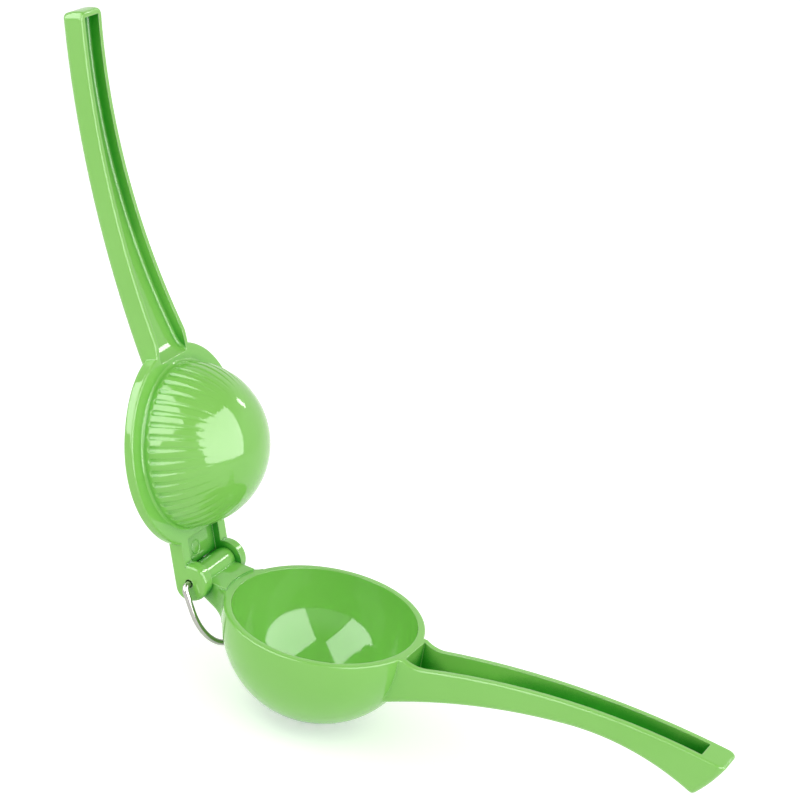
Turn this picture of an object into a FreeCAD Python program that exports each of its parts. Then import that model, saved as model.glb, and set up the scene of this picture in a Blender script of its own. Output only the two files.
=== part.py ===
import FreeCAD, Part
import math
import os

# Hinged lemon squeezer, standing open, in millimetres.
# The origin is the centre of the bowl's rim. +X runs along the bowl's handle,
# +Z up out of the bowl, and the hinge axis is parallel to Y on the -X side.
# The press arm is drawn closed on the bowl and then swung open about the hinge.

os.makedirs("parts", exist_ok=True)

V = FreeCAD.Vector
X_AXIS = V(1, 0, 0)
Y_AXIS = V(0, 1, 0)
Z_AXIS = V(0, 0, 1)

# Bowl: a cup cut from a hollow ball
BOWL_OUTER_RADIUS = 37.3
BOWL_WALL = 2.6
BOWL_CENTRE_DROP = 3.1
RIM_ROUND = 0.7
DRAIN_DIAMETER = 3.2
DRAIN_RING_RADII = (6.5, 12.0)
DRAIN_RING_COUNTS = (6, 12)

# Hinge: the bowl's barrel turns on a steel pin between the press arm's ears
HINGE_STANDOFF = 11.7
OPEN_ANGLE = 109.2
BARREL_RADIUS = 4.85
BARREL_WIDTH = 20.8
HINGE_SIDE_GAP = 0.3
PIN_DIAMETER = 3.2
PIN_CLEARANCE = 0.05
PIN_END_GAP = 0.3

# Tongue and gusset that carry the barrel from the bowl
TONGUE_RISE = 0.9
TONGUE_FLANGE_GAP = 0.35
TONGUE_FLARE = 6.0
TONGUE_ROOT_LAP = 3.0
GUSSET_SLOPE = 27.0
GUSSET_ROUND = 3.0

# Stop lug on the barrel's back, which the neck's web meets when open
LUG_WIDTH = 8.0
LUG_LENGTH = 3.2
LUG_SINK = 0.9
STOP_GAP = 0.15

# Press flange and its hollow fluted dome
RIM_GAP = 0.37
FLANGE_THICKNESS = 3.9
FLANGE_FRONT_ROUND = 0.8
FLANGE_BACK_ROUND = 1.3
SWELL_START = 13.0
SWELL_RADIUS = 150.0
PEEL_ROOM = 3.9
DOME_WALL = 2.6
DOME_CENTRE_RISE = 0.73
DOME_FOOT_ROUND = 1.0
FLUTE_COUNT = 43
FLUTE_RADIUS = 1.4
FLUTE_DEPTH = 0.75
FLUTE_FOOT_ANGLE = 6.0
FLUTE_TOP_ANGLE = 50.0
FLUTE_OVERRUN = 2.0

# Neck: two walls that end in the hinge ears, and a web between them
NECK_DEPTH = 6.05
NECK_CORNER = 5.5
NECK_BACK_ROUND = 1.6
WALL_WIDTH = 4.7
WEB_THICKNESS = 3.3
WEB_END = 2.9
WEB_BARREL_GAP = 0.35
RECESS_INSET = 4.0
EAR_RADIUS = 7.2
MARK_RADIUS = 2.6
MARK_LINE = 0.4
MARK_CENTRE = 9.4
MARK_SIDE = 2.5

# Bowl handle: a U channel, open upwards
LOWER_LENGTH = 159.8
LOWER_CREST_X = 120.0
LOWER_CREST_Z = 7.5
LOWER_TOP_RADIUS = 325.0
LOWER_DIP_RUN = 8.6
LOWER_WAIST_X = 136.0
LOWER_WAIST_HALF = 6.78
LOWER_SIDE_RADIUS = 1355.0
LOWER_ROOT_LAP = 5.0
LOWER_ROOT_Z = -21.3
LOWER_ROOT_HEADING = 23.5
LOWER_KNEE_X = 101.0
LOWER_KNEE_Z = -2.3
LOWER_HEEL_UNDERCUT = 9.8
LOWER_HEEL_Z = -10.0
LOWER_WALL = 2.5
LOWER_FLOOR = 3.0
LOWER_END_WALL = 1.8
LOWER_BROW_GAP = 0.1
LOWER_BACK_ROUND = 3.0
LOWER_MOUTH_ROUND = 0.8
PAD_LENGTH = 7.9
PAD_STEP = 3.4
PAD_WIDTH = 3.3
PAD_DROP = 1.0
PAD_DEPTH = 5.0

# Press handle: a shallower U channel, open towards the bowl's handle
UPPER_LENGTH = 161.0
UPPER_CREST_X = 127.0
UPPER_CREST_Z = 12.4
UPPER_FRONT_RADIUS = 316.0
UPPER_LIFT_RADIUS = 10.0
UPPER_WAIST_X = 142.6
UPPER_WAIST_HALF = 6.62
UPPER_SIDE_RADIUS = 1240.0
UPPER_BACK_CREST_Z = 21.0
UPPER_BACK_RADIUS = 344.6
UPPER_WALL = 2.3
UPPER_CHANNEL_DEPTH = 4.6
UPPER_CHANNEL_INSET = 4.3
UPPER_RAMP = 6.0
UPPER_END_WALL = 1.9
UPPER_BACK_ROUND = 2.8
UPPER_MOUTH_ROUND = 0.8

# Both handles: the bulge and the corner of the end face, and the channel's floor corners
TIP_BULGE = 0.7
TIP_ROUND = 1.5
CHANNEL_ROUND = 1.2

# Hanging ring of steel wire in the ears' holes
WIRE_DIAMETER = 2.4
RING_SIDE_GAP = 2.2
RING_LEG = 9.3
RING_BEND = 2.4
RING_END_DEPTH = 2.1
RING_SWING = 30.0

# Sizes and places that follow from the ones above
HINGE = V(-BOWL_OUTER_RADIUS - HINGE_STANDOFF, 0, 0)
BOWL_CENTRE = V(0, 0, -BOWL_CENTRE_DROP)
BOWL_INNER_RADIUS = BOWL_OUTER_RADIUS - BOWL_WALL
RIM_OUTER_RADIUS = math.sqrt(BOWL_OUTER_RADIUS ** 2 - BOWL_CENTRE_DROP ** 2)
RIM_INNER_RADIUS = math.sqrt(BOWL_INNER_RADIUS ** 2 - BOWL_CENTRE_DROP ** 2)
FLANGE_RADIUS = BOWL_OUTER_RADIUS
FLANGE_FRONT = RIM_GAP
FLANGE_BACK = RIM_GAP + FLANGE_THICKNESS
DOME_RADIUS = BOWL_INNER_RADIUS - PEEL_ROOM
DOME_CENTRE = V(0, 0, FLANGE_FRONT + DOME_CENTRE_RISE)
NECK_BACK = FLANGE_FRONT + NECK_DEPTH
WEB_FRONT = NECK_BACK - WEB_THICKNESS
RECESS_HALF = BARREL_WIDTH / 2 + HINGE_SIDE_GAP
EAR_FACE = RECESS_HALF + WALL_WIDTH
PIN_LENGTH = 2 * (EAR_FACE - RING_END_DEPTH - PIN_END_GAP)
RING_RADIUS = EAR_FACE + RING_SIDE_GAP + WIRE_DIAMETER / 2
LOWER_ROOT_X = RIM_INNER_RADIUS - LOWER_ROOT_LAP
LOWER_CHANNEL_START = BOWL_OUTER_RADIUS + LOWER_BROW_GAP
LOWER_DIP_X = LOWER_CHANNEL_START + LOWER_DIP_RUN
LOWER_HEEL_X = LOWER_LENGTH - LOWER_HEEL_UNDERCUT
TONGUE_ROOT_X = TONGUE_ROOT_LAP - RIM_INNER_RADIUS
UPPER_ROOT_X = DOME_RADIUS
UPPER_CHANNEL_START = FLANGE_RADIUS - UPPER_CHANNEL_INSET
FAR = 400.0


def arc_height(x, crest_x, crest_z, radius):
    """Height at x of a shallow arc that crests at crest_x, crest_z."""
    return crest_z - radius + math.sqrt(radius ** 2 - (x - crest_x) ** 2)


def side_point(x, z):
    return V(x, 0, z)


def line(start, end):
    return Part.LineSegment(start, end).toShape()


def arc(start, middle, end):
    return Part.Arc(start, middle, end).toShape()


def tangent_arc(start, heading, end):
    """Arc in the XZ plane that leaves start at heading, in degrees from +X, and meets end.
    Also gives its heading at the end."""
    chord = end - start
    chord_heading = math.degrees(math.atan2(chord.z, chord.x))
    half_turn = (chord_heading - heading + 180) % 360 - 180
    sagitta = chord.Length / 2 * math.tan(math.radians(half_turn) / 2)
    outward = V(chord.z, 0, -chord.x).normalize()
    middle = (start + end) / 2 + outward * sagitta
    return arc(start, middle, end), chord_heading + half_turn


def bulged(start, end, bulge):
    """Arc from start to end in the XZ plane that stands out to the right by bulge."""
    chord = end - start
    outward = V(chord.z, 0, -chord.x).normalize()
    return arc(start, (start + end) / 2 + outward * bulge, end)


def face(edges):
    return Part.Face(Part.Wire(Part.sortEdges(edges)[0]))


def across(outline_face, half_width):
    """Solid from an XZ face, as wide to each side as half_width."""
    moved = outline_face.translated(Y_AXIS * -half_width)
    return moved.extrude(Y_AXIS * (2 * half_width))


def block(x_from, x_to, half_width, z_from, z_to):
    corner = V(x_from, -half_width, z_from)
    return Part.makeBox(x_to - x_from, 2 * half_width, z_to - z_from, corner)


def pin_along_y(radius, half_width, centre):
    return Part.makeCylinder(radius, 2 * half_width, centre - Y_AXIS * half_width, Y_AXIS)


def plan_strip(x_from, x_to, waist_x, waist_half, side_radius, inset):
    """Tall solid whose plan is a strip with a waist, its sides inset by inset."""
    def half(x):
        return waist_half - inset + (x - waist_x) ** 2 / (2 * side_radius)

    x_mid = (x_from + x_to) / 2
    near = [V(x, -half(x), -FAR / 2) for x in (x_from, x_mid, x_to)]
    far = [V(x, half(x), -FAR / 2) for x in (x_to, x_mid, x_from)]
    outline = [arc(*near), line(near[2], far[0]), arc(*far), line(far[2], near[0])]
    return face(outline).extrude(Z_AXIS * FAR)


def swung_open(shape):
    turned = shape.copy()
    turned.rotate(HINGE, Y_AXIS, -OPEN_ANGLE)
    return turned


def middle_of(edge):
    return edge.valueAt((edge.FirstParameter + edge.LastParameter) / 2)


def start_of(edge):
    return edge.valueAt(edge.FirstParameter)


def end_of(edge):
    return edge.valueAt(edge.LastParameter)


def is_cross(edge):
    """True for an edge that runs along Y rather than along the handle."""
    return edge.BoundBox.YLength > edge.Length / 2


def edges_on(shape, outline):
    """Edges of shape that lie on the sheet swept along Y by the edges of outline."""
    sheet = Part.Compound([edge.extrude(Y_AXIS * FAR) for edge in outline])
    sheet.translate(Y_AXIS * (-FAR / 2))
    found = []
    for edge in shape.Edges:
        places = [vertex.Point for vertex in edge.Vertexes] + [middle_of(edge)]
        if max(Part.Vertex(place).distToShape(sheet)[0] for place in places) < 0.001:
            found.append(edge)
    return found


def handle_blank(back, end, mouth, plan, back_round, mouth_round):
    """One handle before its channel. Its side outline has a back, an end face and a mouth,
    the side that the channel opens to, each drawn from the root to the tip."""
    root = line(start_of(back[0]), start_of(mouth[0]))
    blank = across(face(back + [end] + mouth + [root]), FAR / 10).common(plan)
    heel = end_of(back[-1])
    toe = end_of(mouth[-1])
    root_x = start_of(back[0]).x

    def cross_at(place):
        return [edge for edge in blank.Edges
                if is_cross(edge) and abs(middle_of(edge).x - place.x) < 0.01
                and abs(middle_of(edge).z - place.z) < 0.01]

    blank = blank.makeFillet(TIP_ROUND, cross_at(heel))
    lengthwise = [edge for edge in blank.Edges
                  if not is_cross(edge) and middle_of(edge).x > root_x + 0.01]
    on_mouth = [edge.hashCode() for edge in edges_on(blank, mouth)]
    on_back = [edge for edge in lengthwise if edge.hashCode() not in on_mouth]
    blank = blank.makeFillet(back_round, on_back)
    lips = [edge for edge in edges_on(blank, mouth)
            if not is_cross(edge) and middle_of(edge).x > root_x + 0.01]
    return blank.makeFillet(mouth_round, lips + cross_at(toe))


def channel(floor, mouth_z, plan, heel, toe, end_wall):
    """Cutter for a handle's channel: above its floor, inside its walls and short of the
    end wall, whose inner face is parallel to the line from heel to toe."""
    first = start_of(floor[0])
    last = end_of(floor[-1])
    over_first = side_point(first.x, mouth_z)
    over_last = side_point(last.x, mouth_z)
    sides = [line(first, over_first), line(over_first, over_last), line(over_last, last)]
    cutter = across(face(floor + sides), FAR / 10).common(plan)
    along = (toe - heel).normalize() * (FAR / 8)
    low = heel - along - X_AXIS * end_wall
    high = toe + along - X_AXIS * end_wall
    corners = [low, high, side_point(0, high.z), side_point(0, low.z), low]
    cutter = cutter.common(across(Part.Face(Part.makePolygon(corners)), FAR / 10))
    lengthwise = [edge for edge in edges_on(cutter, floor) if not is_cross(edge)]
    return cutter.makeFillet(CHANNEL_ROUND, lengthwise)


def lower_top(x):
    return arc_height(x, LOWER_CREST_X, LOWER_CREST_Z, LOWER_TOP_RADIUS)


def lower_under(rise):
    """Underside of the bowl handle from root to heel, moved up by rise."""
    up = Z_AXIS * rise
    root = side_point(LOWER_ROOT_X, LOWER_ROOT_Z) + up
    knee = side_point(LOWER_KNEE_X, LOWER_KNEE_Z) + up
    heel = side_point(LOWER_HEEL_X, LOWER_HEEL_Z) + up
    first, heading = tangent_arc(root, LOWER_ROOT_HEADING, knee)
    second, _ = tangent_arc(knee, heading, heel)
    return [first, second]


def lower_plan(x_from, inset):
    return plan_strip(x_from, LOWER_LENGTH + FAR / 10, LOWER_WAIST_X, LOWER_WAIST_HALF,
                      LOWER_SIDE_RADIUS, inset)


def make_bowl_handle():
    """The bowl handle's solid, its channel, and the pad in the channel's far end."""
    heel = side_point(LOWER_HEEL_X, LOWER_HEEL_Z)
    toe = side_point(LOWER_LENGTH, lower_top(LOWER_LENGTH))
    crest = side_point(LOWER_CREST_X, LOWER_CREST_Z)
    dip = side_point(LOWER_DIP_X, lower_top(LOWER_DIP_X))
    brow = side_point(LOWER_CHANNEL_START, 0)
    slope = math.degrees(math.asin((LOWER_CREST_X - LOWER_DIP_X) / LOWER_TOP_RADIUS))
    into_dip, _ = tangent_arc(dip, 180 + slope, brow)
    middle = middle_of(into_dip)
    mouth = [line(side_point(LOWER_ROOT_X, 0), brow), arc(brow, middle, dip),
             arc(dip, crest, toe)]
    solid = handle_blank(lower_under(0), bulged(heel, toe, TIP_BULGE), mouth,
                         lower_plan(LOWER_ROOT_X, 0), LOWER_BACK_ROUND, LOWER_MOUTH_ROUND)
    cutter = channel(lower_under(LOWER_FLOOR), FAR / 10,
                     lower_plan(LOWER_CHANNEL_START, LOWER_WALL), heel, toe, LOWER_END_WALL)
    pad_from = LOWER_LENGTH - LOWER_END_WALL - PAD_LENGTH
    step_from = LOWER_LENGTH - LOWER_END_WALL - PAD_STEP
    inner = LOWER_WAIST_HALF - LOWER_WALL
    pad_face = V(pad_from, -inner - LOWER_WALL / 2, toe.z - PAD_DEPTH)
    pad = Part.makeBox(FAR / 10, PAD_WIDTH + LOWER_WALL / 2, FAR / 10, pad_face)
    lowered = block(step_from, FAR, FAR, lower_top(step_from) - PAD_DROP, FAR)
    pad = pad.common(cutter).common(solid).cut(lowered)
    return solid, cutter, pad


def make_tongue():
    """Flat tongue from the bowl's rim to the barrel, on a sloping gusset. Its sides flare
    out to the bowl, and its raised top stops short of the closed flange."""
    slope = math.radians(GUSSET_SLOPE)
    half = BARREL_WIDTH / 2
    touch = HINGE - V(math.sin(slope), 0, math.cos(slope)) * BARREL_RADIUS
    run = (TONGUE_ROOT_X - touch.x) / math.cos(slope)
    inside = touch + V(math.cos(slope), 0, -math.sin(slope)) * run
    corners = [touch, inside, side_point(inside.x, 0), HINGE, touch]
    tongue = across(Part.Face(Part.makePolygon(corners)), FAR / 10)

    low = V(0, 0, -FAR)
    reach = RIM_OUTER_RADIUS + TONGUE_FLARE
    centre = V(-math.sqrt(reach ** 2 - (half + TONGUE_FLARE) ** 2), half + TONGUE_FLARE, 0)
    on_side = centre - Y_AXIS * TONGUE_FLARE
    on_bowl = centre * (RIM_OUTER_RADIUS / reach)
    bend = centre + ((on_side + on_bowl) / 2 - centre).normalize() * TONGUE_FLARE
    hinge_end = V(touch.x - BARREL_RADIUS, half, 0)
    root_end = V(inside.x, on_bowl.y, 0)
    far_side = [place + low for place in (hinge_end, on_side, bend, on_bowl, root_end)]
    near_side = [V(place.x, -place.y, place.z) for place in far_side]
    outline = []
    for start, side, middle, bowl, root in (far_side, near_side):
        outline += [line(start, side), arc(side, middle, bowl), line(bowl, root)]
    outline += [line(far_side[0], near_side[0]), line(far_side[-1], near_side[-1])]
    tongue = tongue.common(face(outline).extrude(Z_AXIS * FAR))
    under = edges_on(tongue, [line(touch, inside)])
    tongue = tongue.makeFillet(GUSSET_ROUND, [edge for edge in under if not is_cross(edge)])

    top = block(HINGE.x, inside.x, half, -TONGUE_RISE, TONGUE_RISE)
    flange_room = Part.makeCylinder(FLANGE_RADIUS + TONGUE_FLANGE_GAP, FAR)
    return tongue.fuse(top.cut(flange_room))


def make_stop_lug():
    """Lug on the barrel's back, drawn where the web meets it with the arm closed."""
    top = NECK_BACK + STOP_GAP
    x_to = HINGE.x + WEB_END - STOP_GAP
    lug = block(x_to - LUG_LENGTH, x_to, LUG_WIDTH / 2, BARREL_RADIUS - LUG_SINK, top)
    return swung_open(lug)


def make_bowl_arm():
    ball = Part.makeSphere(BOWL_OUTER_RADIUS, BOWL_CENTRE)
    bowl = ball.common(block(-FAR, FAR, FAR, -FAR, 0))
    rim = [edge for edge in bowl.Edges if abs(edge.BoundBox.ZLength) < 0.001]
    bowl = bowl.makeFillet(RIM_ROUND, rim)
    handle, handle_channel, pad = make_bowl_handle()
    arm = bowl.fuse([handle, make_tongue()])
    arm = arm.cut(Part.makeSphere(BOWL_INNER_RADIUS, BOWL_CENTRE))
    arm = arm.fuse([pin_along_y(BARREL_RADIUS, BARREL_WIDTH / 2, HINGE), make_stop_lug()])
    arm = arm.cut([pin_along_y(PIN_DIAMETER / 2 + PIN_CLEARANCE, FAR, HINGE), handle_channel])
    arm = arm.fuse(pad)
    drains = [Part.makeCylinder(DRAIN_DIAMETER / 2, FAR, V(0, 0, -FAR - BOWL_OUTER_RADIUS / 2))]
    for radius, count in zip(DRAIN_RING_RADII, DRAIN_RING_COUNTS):
        for index in range(count):
            drain = drains[0].copy()
            drain.translate(X_AXIS * radius)
            drain.rotate(V(0, 0, 0), Z_AXIS, 360 * index / count)
            drains.append(drain)
    return arm.cut(drains)


def make_flange():
    """Round flange whose back swells towards the handle."""
    wide = FAR / 8
    swell_top = FLANGE_BACK + SWELL_RADIUS

    def swelling(x):
        return side_point(x, swell_top - math.sqrt(SWELL_RADIUS ** 2 - (x - SWELL_START) ** 2))

    corners = [swelling(wide), side_point(wide, FLANGE_FRONT), side_point(-wide, FLANGE_FRONT),
               side_point(-wide, FLANGE_BACK), swelling(SWELL_START)]
    outline = [line(*pair) for pair in zip(corners, corners[1:])]
    outline.append(arc(corners[-1], swelling(FLANGE_RADIUS), corners[0]))
    flange = Part.makeCylinder(FLANGE_RADIUS, wide, V(0, 0, FLANGE_FRONT))
    flange = flange.common(across(face(outline), wide))
    for radius, is_back in ((FLANGE_FRONT_ROUND, False), (FLANGE_BACK_ROUND, True)):
        rims = []
        for edge in flange.Edges:
            place = middle_of(edge)
            on_rim = math.hypot(place.x, place.y) > FLANGE_RADIUS - 0.001
            upright = edge.BoundBox.ZLength > edge.Length / 2
            if on_rim and not upright and is_back == (place.z > FLANGE_BACK - 0.001):
                rims.append(edge)
        flange = flange.makeFillet(radius, rims)
    return flange


def make_dome():
    """Fluted press dome with a hollow round where it meets the flange. Each flute is cut
    by a ring with a round nose that leaves the ball towards its pole."""
    def on_ball(angle):
        below = math.radians(angle)
        return DOME_CENTRE + V(math.cos(below), 0, -math.sin(below)) * DOME_RADIUS

    inside = FLANGE_FRONT + FLANGE_THICKNESS / 2
    reach = DOME_RADIUS + DOME_FOOT_ROUND
    low = math.degrees(math.asin((DOME_CENTRE_RISE + DOME_FOOT_ROUND) / reach))
    mid = (FLUTE_FOOT_ANGLE + FLUTE_TOP_ANGLE) / 2
    foot = DOME_CENTRE + (on_ball(low) - DOME_CENTRE) * (reach / DOME_RADIUS)
    on_flange = side_point(foot.x, FLANGE_FRONT)
    in_foot = foot + ((on_flange + on_ball(low)) / 2 - foot).normalize() * DOME_FOOT_ROUND
    corners = [on_ball(90), side_point(0, inside), side_point(foot.x, inside), on_flange]
    outline = [line(*pair) for pair in zip(corners, corners[1:])]
    outline.append(arc(on_flange, in_foot, on_ball(low)))
    for start, end in ((low, mid), (mid, 90)):
        outline.append(arc(on_ball(start), on_ball((start + end) / 2), on_ball(end)))
    dome = face(outline).revolve(DOME_CENTRE, Z_AXIS, 360)

    shift = FLUTE_DEPTH / math.tan(math.radians(FLUTE_TOP_ANGLE))
    centre = DOME_CENTRE + V(-FLUTE_DEPTH, 0, -shift)
    turn = FreeCAD.Rotation(Y_AXIS, FLUTE_FOOT_ANGLE)
    start = centre + turn.multVec(X_AXIS) * (DOME_RADIUS + FLUTE_RADIUS)
    towards_foot = turn.multVec(Z_AXIS)
    circle = Part.Circle(start, towards_foot, FLUTE_RADIUS).toShape()
    sweep = FLUTE_TOP_ANGLE + FLUTE_OVERRUN - FLUTE_FOOT_ANGLE
    flute = Part.Face(Part.Wire([circle])).revolve(centre, Y_AXIS, sweep)
    flute = flute.fuse(Part.makeSphere(FLUTE_RADIUS, start, towards_foot, 0, 90))
    flutes = []
    for index in range(FLUTE_COUNT):
        turned = flute.copy()
        turned.rotate(DOME_CENTRE, Z_AXIS, 360 * index / FLUTE_COUNT)
        flutes.append(turned)
    return dome.cut(flutes)


def make_neck():
    """Neck with its two hinge ears, before the recess between them is cut."""
    left = HINGE.x - EAR_RADIUS
    corner = NECK_CORNER * (1 - math.sqrt(0.5))
    low = side_point(left, 0)
    shoulder = side_point(left, NECK_BACK - NECK_CORNER)
    bend = side_point(left + corner, NECK_BACK - corner)
    back = side_point(left + NECK_CORNER, NECK_BACK)
    back_root = side_point(-UPPER_ROOT_X, NECK_BACK)
    front_root = side_point(-UPPER_ROOT_X, FLANGE_FRONT)
    front = side_point(HINGE.x, FLANGE_FRONT)
    rear = [line(low, shoulder), arc(shoulder, bend, back), line(back, back_root)]
    rest = [line(back_root, front_root), line(front_root, front), line(front, HINGE),
            line(HINGE, low)]
    neck = across(face(rear + rest), EAR_FACE)
    lengthwise = [edge for edge in edges_on(neck, rear) if not is_cross(edge)]
    neck = neck.makeFillet(NECK_BACK_ROUND, lengthwise)
    ears = pin_along_y(EAR_RADIUS, EAR_FACE, HINGE)
    rims = [edge for edge in ears.Edges if edge.BoundBox.YLength < 0.001]
    ears = ears.makeFillet(NECK_BACK_ROUND, rims)
    behind = block(-FAR, HINGE.x, FAR, -FAR, 0)
    ahead = block(HINGE.x, FAR, FAR, -FAR, FLANGE_FRONT)
    return neck.fuse(ears.common(behind.fuse(ahead)))


def make_recess():
    """Room for the barrel and tongue between the ears."""
    x_to = RECESS_INSET - FLANGE_RADIUS
    recess = block(-FAR, x_to, RECESS_HALF, -FAR, WEB_FRONT)
    past_web = block(-FAR, HINGE.x + WEB_END, RECESS_HALF, -FAR, FAR)
    round_barrel = pin_along_y(BARREL_RADIUS + WEB_BARREL_GAP, RECESS_HALF, HINGE)
    return recess.fuse([past_web, round_barrel])


def upper_front(x, rise):
    return side_point(x, arc_height(x, UPPER_CREST_X, UPPER_CREST_Z, UPPER_FRONT_RADIUS) + rise)


def upper_back(x):
    return side_point(x, arc_height(x, UPPER_CREST_X, UPPER_BACK_CREST_Z, UPPER_BACK_RADIUS))


def upper_plan(x_from, inset):
    return plan_strip(x_from, UPPER_LENGTH + FAR / 10, UPPER_WAIST_X, UPPER_WAIST_HALF,
                      UPPER_SIDE_RADIUS, inset)


def make_press_handle():
    """The press handle's solid and its channel, closed over the bowl handle."""
    reach = UPPER_FRONT_RADIUS + UPPER_LIFT_RADIUS
    drop = reach - (UPPER_CREST_Z - FLANGE_FRONT)
    lift = side_point(UPPER_CREST_X - math.sqrt(reach ** 2 - drop ** 2), FLANGE_FRONT)
    rise_run = (UPPER_CREST_X - lift.x) * UPPER_FRONT_RADIUS / reach
    rise = upper_front(UPPER_CREST_X - rise_run, 0)
    toe = upper_front(UPPER_LENGTH, 0)
    heel = upper_back(UPPER_LENGTH)
    into_rise, _ = tangent_arc(lift, 0, rise)
    mouth = [line(side_point(UPPER_ROOT_X, FLANGE_FRONT), lift), into_rise,
             arc(rise, upper_front(UPPER_CREST_X, 0), toe)]
    back = [arc(upper_back(UPPER_ROOT_X), upper_back(UPPER_CREST_X), heel)]
    solid = handle_blank(back, bulged(toe, heel, TIP_BULGE), mouth, upper_plan(UPPER_ROOT_X, 0),
                         UPPER_BACK_ROUND, UPPER_MOUTH_ROUND)
    ramp_top = side_point(UPPER_CHANNEL_START, FLANGE_FRONT)
    ramp_foot = upper_front(UPPER_CHANNEL_START + UPPER_RAMP, UPPER_CHANNEL_DEPTH)
    slope = math.degrees(math.asin((UPPER_CREST_X - ramp_foot.x) / UPPER_FRONT_RADIUS))
    ramp, _ = tangent_arc(ramp_foot, 180 + slope, ramp_top)
    floor = [arc(ramp_top, middle_of(ramp), ramp_foot),
             arc(ramp_foot, upper_front(UPPER_CREST_X, UPPER_CHANNEL_DEPTH),
                 upper_front(UPPER_LENGTH, UPPER_CHANNEL_DEPTH))]
    cutter = channel(floor, -FAR / 10, upper_plan(UPPER_CHANNEL_START, UPPER_WALL), heel, toe,
                     UPPER_END_WALL)
    return solid, cutter


def make_press_arm():
    handle, handle_channel = make_press_handle()
    arm = make_flange().fuse([make_dome(), make_neck(), handle])
    hollow = Part.makeSphere(DOME_RADIUS - DOME_WALL, DOME_CENTRE)
    eyes = pin_along_y(PIN_DIAMETER / 2, FAR, HINGE)
    mark_at = V(HINGE.x + MARK_CENTRE, -MARK_SIDE, WEB_FRONT - MARK_LINE / 2)
    mark = Part.makeTorus(MARK_RADIUS, MARK_LINE, mark_at)
    arm = arm.cut([hollow, make_recess(), handle_channel, eyes])
    return swung_open(arm.cut(mark))


def make_hinge_pin():
    return pin_along_y(PIN_DIAMETER / 2, PIN_LENGTH / 2, HINGE)


def make_hanging_ring():
    """One bent wire: a U whose ends turn inwards into the ears' holes."""
    swing = math.radians(RING_SWING)
    down = V(math.sin(swing), 0, -math.cos(swing))

    def place(y, drop):
        return HINGE + Y_AXIS * y + down * drop

    inner = EAR_FACE - RING_END_DEPTH
    bend = RING_RADIUS - RING_BEND
    knuckle = RING_BEND * math.sqrt(0.5)
    knuckle_y = bend + knuckle
    knuckle_drop = RING_BEND - knuckle
    edges = [
        line(place(-inner, 0), place(-bend, 0)),
        arc(place(-bend, 0), place(-knuckle_y, knuckle_drop), place(-RING_RADIUS, RING_BEND)),
        line(place(-RING_RADIUS, RING_BEND), place(-RING_RADIUS, RING_LEG)),
        arc(place(-RING_RADIUS, RING_LEG), place(0, RING_LEG + RING_RADIUS),
            place(RING_RADIUS, RING_LEG)),
        line(place(RING_RADIUS, RING_LEG), place(RING_RADIUS, RING_BEND)),
        arc(place(RING_RADIUS, RING_BEND), place(knuckle_y, knuckle_drop), place(bend, 0)),
        line(place(bend, 0), place(inner, 0)),
    ]
    circle = Part.Circle(place(-inner, 0), Y_AXIS, WIRE_DIAMETER / 2).toShape()
    return Part.Wire(edges).makePipeShell([Part.Wire([circle])], True, False)


make_bowl_arm().exportStep("parts/bowl_arm.step")
make_press_arm().exportStep("parts/press_arm.step")
make_hinge_pin().exportStep("parts/hinge_pin.step")
make_hanging_ring().exportStep("parts/hanging_ring.step")
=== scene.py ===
import math

import bmesh
import bpy
from mathutils import Matrix, Vector


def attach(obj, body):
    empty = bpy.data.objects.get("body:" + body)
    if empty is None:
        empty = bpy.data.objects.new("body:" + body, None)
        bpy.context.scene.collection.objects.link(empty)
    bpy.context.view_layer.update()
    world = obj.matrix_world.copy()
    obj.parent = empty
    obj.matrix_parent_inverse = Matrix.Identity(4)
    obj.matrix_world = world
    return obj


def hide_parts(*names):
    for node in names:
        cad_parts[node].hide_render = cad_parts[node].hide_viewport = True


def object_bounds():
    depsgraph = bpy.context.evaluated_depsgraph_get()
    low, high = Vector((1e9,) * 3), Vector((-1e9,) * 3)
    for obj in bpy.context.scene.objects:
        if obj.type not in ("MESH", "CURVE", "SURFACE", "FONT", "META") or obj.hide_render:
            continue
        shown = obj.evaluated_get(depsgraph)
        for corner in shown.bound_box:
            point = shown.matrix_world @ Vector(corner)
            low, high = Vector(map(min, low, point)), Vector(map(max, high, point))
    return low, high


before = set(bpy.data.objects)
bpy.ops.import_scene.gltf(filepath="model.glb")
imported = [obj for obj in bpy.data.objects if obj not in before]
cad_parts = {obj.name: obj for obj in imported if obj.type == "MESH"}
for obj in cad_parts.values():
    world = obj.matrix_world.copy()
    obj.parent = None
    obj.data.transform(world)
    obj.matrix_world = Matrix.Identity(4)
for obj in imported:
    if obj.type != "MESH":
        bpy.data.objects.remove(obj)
cad_low, cad_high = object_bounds()

# Bowl arm: the lower casting, with its drained bowl, tongue, hinge barrel and channel
# handle in one piece of aluminium. It is cast, tumbled smooth and coated in gloss
# green enamel, which rounds each edge a little and fills the inside corners.
CREASE = math.radians(32)
SAME_POINT = 2e-7
LARGE_FACES_LEAD = 90


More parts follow.
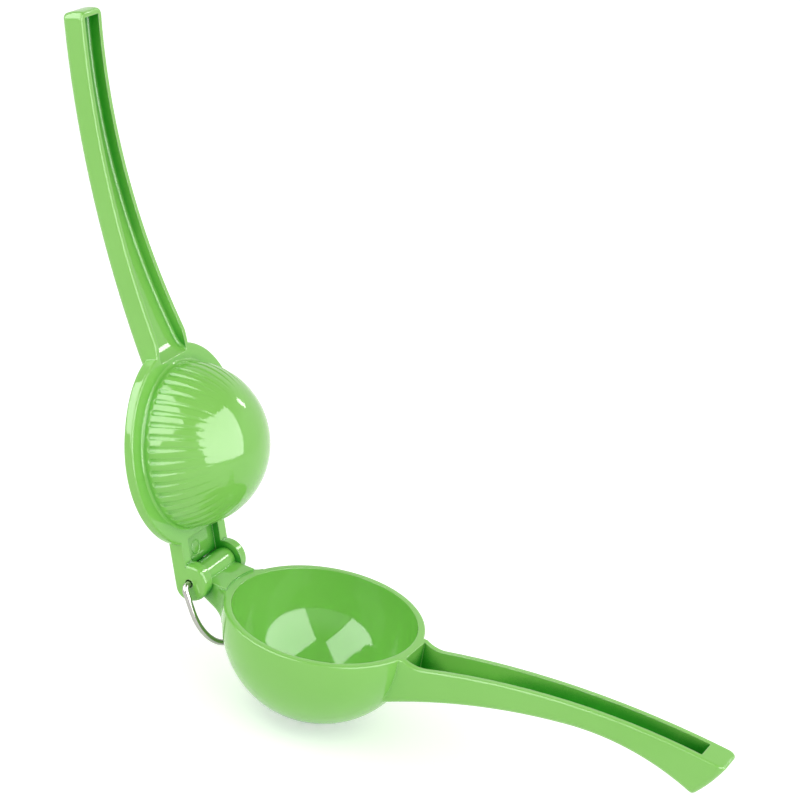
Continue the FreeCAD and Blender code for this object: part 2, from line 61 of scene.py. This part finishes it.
def casting(name, node, body):
    """A copy of a cast node whose faces are joined up, so that the coat runs over them."""
    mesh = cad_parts[node].data.copy()
    shape = bmesh.new()
    shape.from_mesh(mesh)
    bmesh.ops.remove_doubles(shape, verts=shape.verts, dist=SAME_POINT)
    for face in shape.faces:
        face.smooth = True
    # An edge with only one face has no angle, and counts as sharp.
    for edge in shape.edges:
        edge.smooth = edge.calc_face_angle(math.pi) < CREASE
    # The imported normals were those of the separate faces.
    for layer in list(shape.loops.layers.float_vector):
        shape.loops.layers.float_vector.remove(layer)
    joined = bpy.data.meshes.new(name)
    shape.to_mesh(joined)
    shape.free()
    bpy.data.meshes.remove(mesh)
    piece = bpy.data.objects.new(name, joined)
    bpy.context.scene.collection.objects.link(piece)
    weights = piece.modifiers.new("faces_lead", "WEIGHTED_NORMAL")
    weights.keep_sharp = True
    weights.weight = LARGE_FACES_LEAD
    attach(piece, body)
    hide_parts(node)
    return piece


def linear(code):
    """sRGB hex to the linear colour that a shader takes."""
    parts = [int(code[i:i + 2], 16) / 255 for i in (1, 3, 5)]
    return [c / 12.92 if c <= 0.04045 else ((c + 0.055) / 1.055) ** 2.4 for c in parts] + [1.0]


def add(tree, kind, values=(), links=(), **properties):
    """Adds one node: values are its inputs' settings, and links are
    (input, the node it comes from, that node's output)."""
    node = tree.nodes.new(kind)
    for key, value in properties.items():
        setattr(node, key, value)
    for key, value in dict(values).items():
        node.inputs[key].default_value = value
    for target, source, output in links:
        tree.links.new(source.outputs[output], node.inputs[target])
    return node


def blank_material(name):
    """A new material with no nodes yet, and its node tree."""
    material = bpy.data.materials.new(name)
    material.use_nodes = True
    material.node_tree.nodes.clear()
    return material, material.node_tree


# Gloss enamel, sprayed on cast aluminium and baked: an even yellow green with a smooth
# clear skin, which shows sharp lamps and a faint orange peel. A paler green is painted
# along the edges as a painted highlight, and a deeper green is painted in the channels
# and corners as painted shade.
enamel, tree = blank_material("gloss_green_baked_enamel_on_cast_aluminium")
MM_PER_METRE = 1000
ENAMEL_IOR = 1.52
GLOSSIEST = 0.05
DULLEST = 0.09
FLOW_MM = 26.0
PEEL_MM = 1.9
PEEL_DEPTH_MM = 0.012
PEEL_STRENGTH = 0.5
EDGE_MM = 0.7
EDGE_STARTS = 0.995
EDGE_FULL = 0.80
EDGE_HIGHLIGHT_PALENESS = 0.55
SHADE_MM = 12.0
SHADE_STARTS = 0.72
SHADE_FULL = 0.46
place = add(tree, "ShaderNodeTexCoord")
peel = add(tree, "ShaderNodeTexNoise",
           {"Scale": MM_PER_METRE / PEEL_MM, "Detail": 2.0, "Roughness": 0.45},
           [("Vector", place, "Object")])
flow = add(tree, "ShaderNodeTexNoise", {"Scale": MM_PER_METRE / FLOW_MM, "Detail": 3.0},
           [("Vector", place, "Object")])
# In a Mix node of colours, input 6 is the first colour, 7 the second, output 2 the result.
paint = add(tree, "ShaderNodeMix", {6: linear("#8ad45d"), 7: linear("#94da6a")},
            [("Factor", flow, "Fac")], data_type="RGBA")
# Painted shade: a deeper green is painted wherever the occlusion node finds the surface sheltered,
# in the channels, corners and recesses.
shelter = add(tree, "ShaderNodeAmbientOcclusion", {"Distance": SHADE_MM / MM_PER_METRE}, samples=8)
painted_shade = add(tree, "ShaderNodeMapRange",
             {"From Min": SHADE_FULL, "From Max": SHADE_STARTS, "To Min": 1.0, "To Max": 0.0},
             [("Value", shelter, "AO")])
shaded_paint = add(tree, "ShaderNodeMix", {7: linear("#2c9e26")},
            [("Factor", painted_shade, "Result"), (6, paint, 2)], data_type="RGBA")
# The softened normal leaves the true one only near an edge: there a paler green is painted on, as a
# painted edge highlight.
soft_edge = add(tree, "ShaderNodeBevel", {"Radius": EDGE_MM / MM_PER_METRE}, samples=6)
surface = add(tree, "ShaderNodeNewGeometry")
bend = add(tree, "ShaderNodeVectorMath", (), [(0, soft_edge, "Normal"), (1, surface, "Normal")],
           operation="DOT_PRODUCT")
painted_edge_highlight = add(tree, "ShaderNodeMapRange",
           {"From Min": EDGE_STARTS, "From Max": EDGE_FULL, "To Min": 0.0, "To Max": EDGE_HIGHLIGHT_PALENESS},
           [("Value", bend, "Value")])
coat = add(tree, "ShaderNodeMix", {7: linear("#b4f08e")},
           [("Factor", painted_edge_highlight, "Result"), (6, shaded_paint, 2)], data_type="RGBA")
relief = add(tree, "ShaderNodeBump",
             {"Strength": PEEL_STRENGTH, "Distance": PEEL_DEPTH_MM / MM_PER_METRE},
             [("Height", peel, "Fac"), ("Normal", soft_edge, "Normal")])
gloss = add(tree, "ShaderNodeMapRange",
            {"From Min": 0.3, "From Max": 0.7, "To Min": GLOSSIEST, "To Max": DULLEST},
            [("Value", flow, "Fac")])
shader = add(tree, "ShaderNodeBsdfPrincipled", {"IOR": ENAMEL_IOR},
             [("Base Color", coat, 2), ("Roughness", gloss, "Result"),
              ("Normal", relief, "Normal")])
add(tree, "ShaderNodeOutputMaterial", (), [("Surface", shader, "BSDF")])

bowl_arm = casting("bowl_arm_coated", "bowl_arm", "bowl_arm")
bowl_arm.data.materials.append(enamel)

# Press arm: the upper casting, with its hollow fluted dome on a flange, the neck with
# two hinge ears, and a shallower channel handle. It is the same metal in the same coat.
press_arm = casting("press_arm_coated", "press_arm", "press_arm")
press_arm.data.materials.append(enamel)

# Hinge pin: a plain pin of ground steel, pressed into both ears through the bowl arm's
# barrel, so it turns with the press arm. It ends inside the ears, so nothing of it shows.

# Centreless ground steel: grey, half dull, with fine rings round it from the wheel. The
# real rings are finer than a tenth of a millimetre, and are drawn coarser so that they
# show. They are GRIND_MM apart, and GRIND_RUN times as long.
pin_steel, tree = blank_material("centreless_ground_steel")
GROUND_ROUGHNESS = 0.32
GRIND_MM = 0.35
GRIND_RUN = 12.0
GRIND_DEPTH_MM = 0.01
place = add(tree, "ShaderNodeTexCoord")
stretch = add(tree, "ShaderNodeMapping", {"Scale": (1.0, GRIND_RUN, 1.0)},
              [("Vector", place, "Object")])
grind = add(tree, "ShaderNodeTexNoise",
            {"Scale": MM_PER_METRE / GRIND_MM / GRIND_RUN, "Detail": 2.0},
            [("Vector", stretch, "Vector")])
tone = add(tree, "ShaderNodeMix", {6: linear("#8f9092"), 7: linear("#b0b1b3")},
           [("Factor", grind, "Fac")], data_type="RGBA")
relief = add(tree, "ShaderNodeBump",
             {"Strength": 0.3, "Distance": GRIND_DEPTH_MM / MM_PER_METRE},
             [("Height", grind, "Fac")])
shader = add(tree, "ShaderNodeBsdfPrincipled", {"Metallic": 1.0, "Roughness": GROUND_ROUGHNESS},
             [("Base Color", tone, 2), ("Normal", relief, "Normal")])
add(tree, "ShaderNodeOutputMaterial", (), [("Surface", shader, "BSDF")])
hinge_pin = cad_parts["hinge_pin"]
hinge_pin.data.materials.clear()
hinge_pin.data.materials.append(pin_steel)

# Hanging ring: one length of drawn steel wire, bent to a loop. Its two ends are sprung
# into the ears' holes, outside the pin, where it swings freely.

# Bright drawn steel: a grey mirror with faint marks from the die. The real marks are
# finer, and are drawn coarser so that they show.
ring_steel, tree = blank_material("bright_drawn_steel_wire")
DRAWN_ROUGHNESS = 0.09
DRAW_MM = 0.5
DRAW_DEPTH_MM = 0.008
place = add(tree, "ShaderNodeTexCoord")
draw = add(tree, "ShaderNodeTexNoise", {"Scale": MM_PER_METRE / DRAW_MM, "Detail": 3.0},
           [("Vector", place, "Object")])
tone = add(tree, "ShaderNodeMix", {6: linear("#a5a4a0"), 7: linear("#bdbcb8")},
           [("Factor", draw, "Fac")], data_type="RGBA")
relief = add(tree, "ShaderNodeBump",
             {"Strength": 0.25, "Distance": DRAW_DEPTH_MM / MM_PER_METRE},
             [("Height", draw, "Fac")])
shader = add(tree, "ShaderNodeBsdfPrincipled", {"Metallic": 1.0, "Roughness": DRAWN_ROUGHNESS},
             [("Base Color", tone, 2), ("Normal", relief, "Normal")])
add(tree, "ShaderNodeOutputMaterial", (), [("Surface", shader, "BSDF")])
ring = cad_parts["hanging_ring"]
ring.data.materials.clear()
ring.data.materials.append(ring_steel)

# Table: a plain matt white sheet that runs out of view, just under the bowl. It keeps the
# squeezer's shadow, and what the lens and the metal see of it is lifted to white.
TABLE_GAP = 0.0002
TABLE_HALF = 4.0
TABLE_LIFT = 0.45
sheet = bmesh.new()
bmesh.ops.create_grid(sheet, x_segments=2, y_segments=2, size=TABLE_HALF)
table_mesh = bpy.data.meshes.new("table")
sheet.to_mesh(table_mesh)
sheet.free()
table = bpy.data.objects.new("table", table_mesh)
table.location.z = cad_low.z - TABLE_GAP
bpy.context.scene.collection.objects.link(table)
table_white, tree = blank_material("matt_white_table")


def seen_ray(tree):
    """1 for a ray that shows the background: from the lens, in a gloss or through glass."""
    seen = add(tree, "ShaderNodeLightPath")
    either = add(tree, "ShaderNodeMath", (),
                 [(0, seen, "Is Camera Ray"), (1, seen, "Is Glossy Ray")], operation="MAXIMUM")
    return add(tree, "ShaderNodeMath", (),
               [(0, either, 0), (1, seen, "Is Transmission Ray")], operation="MAXIMUM")


matt = add(tree, "ShaderNodeBsdfDiffuse", {"Color": linear("#f4f4f2")})
lift = add(tree, "ShaderNodeMapRange", {"To Min": 0.0, "To Max": TABLE_LIFT},
           [("Value", seen_ray(tree), 0)])
glow = add(tree, "ShaderNodeEmission", (), [("Strength", lift, 0)])
both = add(tree, "ShaderNodeAddShader", (), [(0, matt, 0), (1, glow, 0)])
add(tree, "ShaderNodeOutputMaterial", (), [("Surface", both, 0)])
table.data.materials.append(table_white)

# Air: a white tent. What the lens and a gloss see of it is white up to ROOF_FROM, the
# sine of the height, and darkens up to ROOF_TO, so that faces that look up stay green.
TENT_LIGHT = 0.60
TENT_WHITE = 1.0
TENT_ROOF = 0.12
ROOF_FROM = 0.45
ROOF_TO = 0.75
world = bpy.data.worlds.new("white_tent")
bpy.context.scene.world = world
world.use_nodes = True
tree = world.node_tree
tree.nodes.clear()
direction = add(tree, "ShaderNodeTexCoord")
height = add(tree, "ShaderNodeSeparateXYZ", (), [(0, direction, "Generated")])
shown = add(tree, "ShaderNodeMapRange",
            {"From Min": ROOF_FROM, "From Max": ROOF_TO, "To Min": TENT_WHITE, "To Max": TENT_ROOF},
            [("Value", height, "Z")])
# In a Mix node of numbers, input 2 is the first number and 3 the second.
level = add(tree, "ShaderNodeMix", {2: TENT_LIGHT}, [(0, seen_ray(tree), 0), (3, shown, 0)],
            data_type="FLOAT")
air = add(tree, "ShaderNodeBackground", {"Color": (1, 1, 1, 1)}, [("Strength", level, 0)])
add(tree, "ShaderNodeOutputWorld", (), [("Surface", air, 0)])

# Lamps: a large soft box on the right, one like it front left and a small one behind. The
# shine of a box is a lamp of its own, a little nearer, which lights nothing: a box as
# bright as its reflection would wash out the colour.
LOOK_AT = Vector((-0.02, 0.0, 0.03))
LAMP_DISTANCE = 1.0
SHINE_DISTANCE = 0.95


def soft_box(name, azimuth, elevation, wide, high, light, shine):
    """Two area lamps, in degrees round the squeezer: azimuth 0 is in front, 90 to the right."""
    a = math.radians(azimuth)
    e = math.radians(elevation)
    away = Vector((math.sin(a) * math.cos(e), -math.cos(a) * math.cos(e), math.sin(e)))
    for part, radiance, distance in (("light", light, LAMP_DISTANCE),
                                     ("shine", shine, SHINE_DISTANCE)):
        lamp = bpy.data.lights.new(name + "_" + part, "AREA")
        lamp.shape = "RECTANGLE"
        lamp.size = wide
        lamp.size_y = high
        lamp.energy = radiance * math.pi * wide * high
        box = bpy.data.objects.new(name + "_" + part, lamp)
        box.location = LOOK_AT + away * distance
        box.rotation_euler = away.to_track_quat("Z", "Y").to_euler()
        box.visible_diffuse = part == "light"
        box.visible_glossy = part == "shine"
        bpy.context.scene.collection.objects.link(box)


soft_box("right_soft_box", azimuth=83, elevation=32, wide=1.22, high=1.10,
         light=0.85, shine=6.0)
soft_box("front_left_soft_box", azimuth=-45, elevation=40, wide=1.34, high=1.00,
         light=0.78, shine=6.0)
soft_box("back_lamp", azimuth=159, elevation=31, wide=0.10, high=0.16,
         light=3.0, shine=12.0)

# Camera: a long lens on a full frame, in front, to the right and above, where the
# squeezer's outline is as in the photograph.
SENSOR_MM = 36.0
FOCAL_MM = 122.85
NEAREST = 0.05
FARTHEST = 30.0
CAMERA_AT = Vector((0.3503, -0.8030, 0.4826))
LOOKS = Vector((-0.3522, 0.8417, -0.4092)).normalized()
RIGHT = Vector((0.8803, 0.4463, 0.1605))
UP = RIGHT.cross(LOOKS).normalized()
RIGHT = LOOKS.cross(UP)
lens = bpy.data.cameras.new("camera")
lens.sensor_width = SENSOR_MM
lens.lens = FOCAL_MM
lens.clip_start = NEAREST
lens.clip_end = FARTHEST
camera = bpy.data.objects.new("camera", lens)
turned = Matrix((RIGHT, UP, -LOOKS)).transposed().to_4x4()
camera.matrix_world = Matrix.Translation(CAMERA_AT) @ turned
bpy.context.scene.collection.objects.link(camera)
bpy.context.scene.camera = camera
bpy.context.scene.view_settings.view_transform = "Standard"
